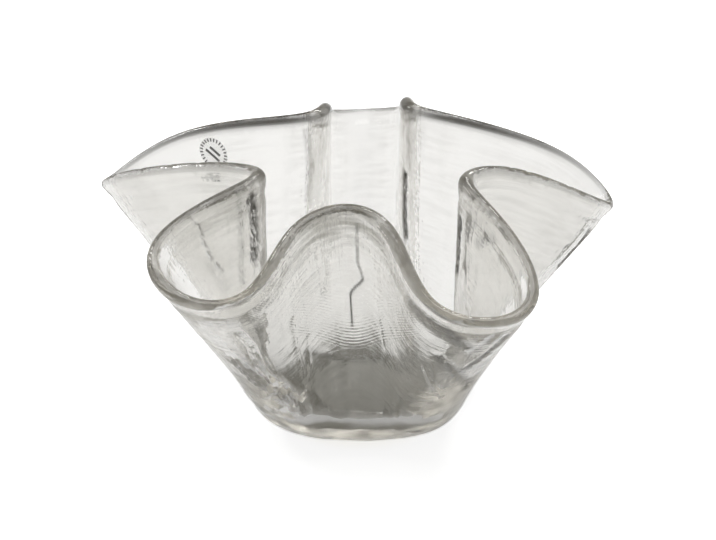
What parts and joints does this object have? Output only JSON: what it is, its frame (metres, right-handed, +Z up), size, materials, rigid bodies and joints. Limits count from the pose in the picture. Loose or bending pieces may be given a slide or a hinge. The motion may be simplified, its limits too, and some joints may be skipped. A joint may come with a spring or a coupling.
{
  "type": "glass tealight holder",
  "caption": "Hand-formed clear glass bowl with a wavy rim of rounded lobes and inward folds on a flat foot, holding a tealight; a small oval label sits inside, under the rim.",
  "frame": {"origin": "centre of the flat foot, on the surface that the bowl stands on", "axes": "+Z up along the foot's axis, +X to the right as seen from the front, +Y to the back"},
  "size_m": [0.1633, 0.1479, 0.0911],
  "materials": {
    "clear_glass": "polished, hand-tooled ripples",
    "label_film": "satin film"
  },
  "bodies": {
    "root": {"glass_bowl": "clear_glass", "oval_label": "label_film"}
  },
  "joints": []
}
